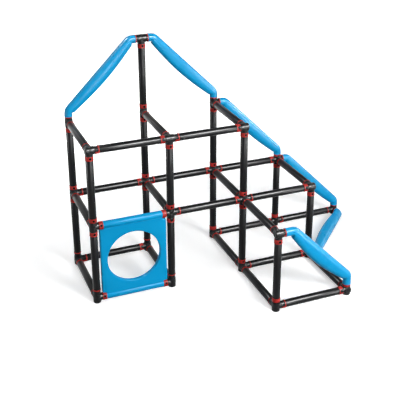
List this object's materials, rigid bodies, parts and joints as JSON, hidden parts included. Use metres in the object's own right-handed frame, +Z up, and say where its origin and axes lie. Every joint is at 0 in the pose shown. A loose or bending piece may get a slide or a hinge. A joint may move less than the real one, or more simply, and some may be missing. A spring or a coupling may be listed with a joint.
{
  "type": "climbing frame",
  "caption": "Stepped climbing frame of dark plastic tubes and multi-way connectors with lock rings, blue corner bars down its slopes and a blue panel with a round crawl hole.",
  "frame": {"origin": "on the floor, under the middle of the frame's bounding box", "axes": "+X along the long side from the tall end to the low end, +Y from the front bay towards the back row, +Z up"},
  "size_m": [1.6426, 0.8502, 1.2478],
  "materials": {
    "charcoal_plastic": "satin moulded plastic with fine grain",
    "blue_plastic": "smooth blow-moulded plastic, soft gloss",
    "red_plastic": "smooth moulded plastic"
  },
  "bodies": {
    "root": {"bar_a2_b3": "blue_plastic", "bar_b3_c2": "blue_plastic", "bar_c2_d1": "blue_plastic", "bar_d1_e0": "blue_plastic", "bar_e0_i0": "blue_plastic", "bar_j1_k0": "blue_plastic", "connector_a2": "charcoal_plastic", "connector_b3": "charcoal_plastic", "connector_c2": "charcoal_plastic", "connector_d1": "charcoal_plastic", "connector_e0": "charcoal_plastic", "connector_f2": "charcoal_plastic", "connector_g2": "charcoal_plastic", "connector_h2": "charcoal_plastic", "connector_i1": "charcoal_plastic", "connector_j1": "charcoal_plastic", "connector_k0": "charcoal_plastic", "crawl_panel": "blue_plastic", "post_a0": "charcoal_plastic", "post_a1": "charcoal_plastic", "post_b0": "charcoal_plastic", "post_b1": "charcoal_plastic", "post_b2": "charcoal_plastic", "post_c0": "charcoal_plastic", "post_c1": "charcoal_plastic", "post_d0": "charcoal_plastic", "post_f0": "charcoal_plastic", "post_f1": "charcoal_plastic", "post_g0": "charcoal_plastic", "post_g1": "charcoal_plastic", "post_h0": "charcoal_plastic", "post_h1": "charcoal_plastic", "post_i0": "charcoal_plastic", "post_j0": "charcoal_plastic", "rail_ab_0": "charcoal_plastic", "rail_ab_1": "charcoal_plastic", "rail_af_0": "charcoal_plastic", "rail_af_1": "charcoal_plastic", "rail_af_2": "charcoal_plastic", "rail_bc_1": "charcoal_plastic", "rail_bg_0": "charcoal_plastic", "rail_bg_1": "charcoal_plastic", "rail_bg_2": "charcoal_plastic", "rail_cd_0": "charcoal_plastic", "rail_cd_1": "charcoal_plastic", "rail_ch_0": "charcoal_plastic", "rail_ch_1": "charcoal_plastic", "rail_ch_2": "charcoal_plastic", "rail_de_0": "charcoal_plastic", "rail_di_1": "charcoal_plastic", "rail_fg_2": "charcoal_plastic", "rail_gh_1": "charcoal_plastic", "rail_gh_2": "charcoal_plastic", "rail_hi_0": "charcoal_plastic", "rail_hi_1": "charcoal_plastic", "rail_hj_0": "charcoal_plastic", "rail_hj_1": "charcoal_plastic", "rail_ik_0": "charcoal_plastic", "rail_jk_0": "charcoal_plastic"}
  },
  "joints": []
}
